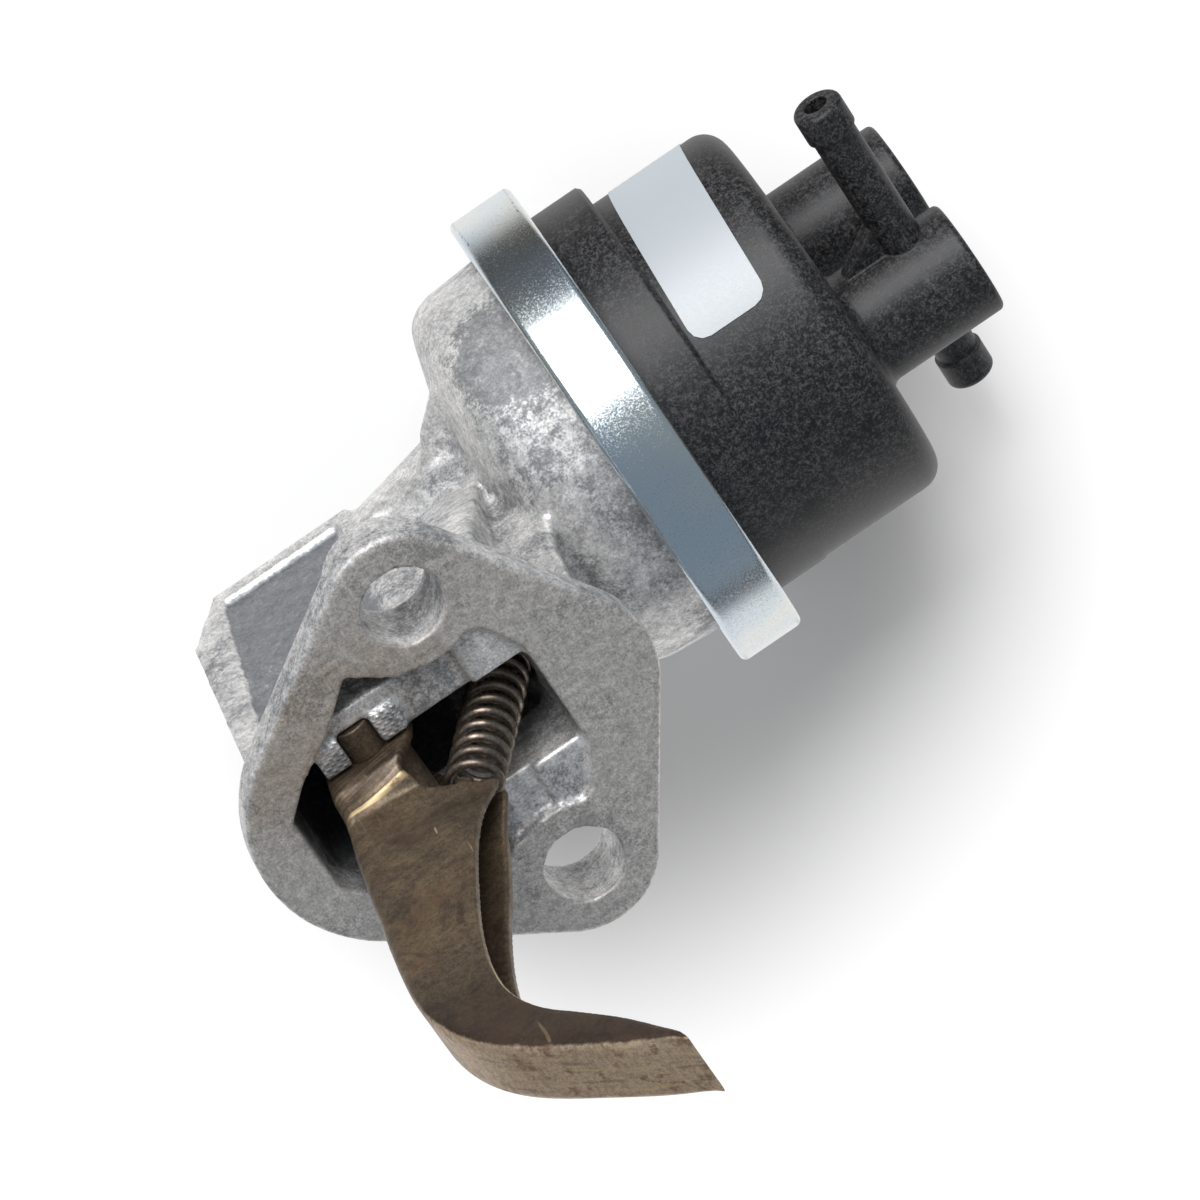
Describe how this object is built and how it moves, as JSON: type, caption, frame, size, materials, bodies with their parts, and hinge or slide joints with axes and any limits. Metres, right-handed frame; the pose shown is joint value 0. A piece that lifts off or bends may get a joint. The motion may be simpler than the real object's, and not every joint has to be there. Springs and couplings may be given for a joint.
{
  "type": "fuel pump",
  "caption": "mechanical diaphragm fuel pump with a cast two-bolt flange, a sprung rocker lever, a crimped ring and hose nipples",
  "frame": {"origin": "middle of the two bolt holes, on the flange's mounting face", "axes": "-Y is the outward normal of the flange's mounting face, towards the engine; +Z runs along the pump's axis from the rocker chamber to the hose nipples; +X runs from one bolt hole to the other"},
  "size_m": [0.066, 0.1597, 0.1145],
  "materials": {
    "cast_aluminium": "rough die cast",
    "black_plastic": "grainy moulded",
    "zinc_steel": "bright zinc plated",
    "sticker_film": "silvery film",
    "bronzed_steel": "brown oiled sheet",
    "dark_pin_steel": "brown oiled",
    "spring_steel": "drawn wire",
    "grey_steel": "plain",
    "diaphragm_rubber": "matt",
    "seal_rubber": "matt",
    "natural_plastic": "moulded",
    "valve_rubber": "matt",
    "strainer_mesh": "fine mesh"
  },
  "bodies": {
    "housing": {"lower_housing": "cast_aluminium", "top_cover": "black_plastic", "crimp_ring": "zinc_steel", "cover_label": "sticker_film", "pivot_pin": "dark_pin_steel", "lever_return_spring": "spring_steel", "diaphragm": "diaphragm_rubber", "diaphragm_spring": "spring_steel", "rod_seal": "seal_rubber", "seal_retainer": "grey_steel", "valve_plate": "natural_plastic", "inlet_valve_cage": "natural_plastic", "outlet_valve_cage": "natural_plastic", "inlet_valve_spring": "spring_steel", "outlet_valve_spring": "spring_steel", "inlet_strainer": "strainer_mesh"},
    "lever": {"rocker_lever": "bronzed_steel"},
    "link": {"link_arm": "grey_steel"},
    "rod": {"pull_rod": "grey_steel", "rod_collar": "grey_steel", "upper_diaphragm_plate": "grey_steel", "lower_diaphragm_plate": "grey_steel"},
    "inlet_disc": {"inlet_valve": "valve_rubber"},
    "outlet_disc": {"outlet_valve": "valve_rubber"}
  },
  "joints": [
    {"name": "lever_pivot", "type": "hinge", "parent": "housing", "child": "lever", "pos_m": [0, 0.0042, -0.0136], "axis": [-1, 0, 0], "range_deg": [0, 8], "stiffness_Nm_per_rad": 0.5, "springref_deg": -34.38, "deforming": ["lever_return_spring"]},
    {"name": "link_pivot", "type": "hinge", "parent": "housing", "child": "link", "pos_m": [0, 0.0042, -0.0136], "axis": [-1, 0, 0], "range_deg": [0, 8]},
    {"name": "rod_stroke", "type": "slide", "parent": "housing", "child": "rod", "axis": [0, 0, -1], "range_m": [0, 0.0056], "stiffness_N_per_m": 400, "springref_m": -0.003, "deforming": ["diaphragm_spring", "diaphragm"]},
    {"name": "inlet_valve_lift", "type": "slide", "parent": "housing", "child": "inlet_disc", "axis": [0, 0, -1], "range_m": [0, 0.0011], "stiffness_N_per_m": 30, "springref_m": -0.001, "deforming": ["inlet_valve_spring"]},
    {"name": "outlet_valve_lift", "type": "slide", "parent": "housing", "child": "outlet_disc", "axis": [0, 0, 1], "range_m": [0, 0.0011], "stiffness_N_per_m": 30, "springref_m": -0.001, "deforming": ["outlet_valve_spring"]}
  ],
  "couplings": [
    {"joint": "link_pivot", "follows": "lever_pivot", "ratio": 1},
    {"joint": "rod_stroke", "follows": "lever_pivot", "m_per_rad": 0.0395}
  ]
}
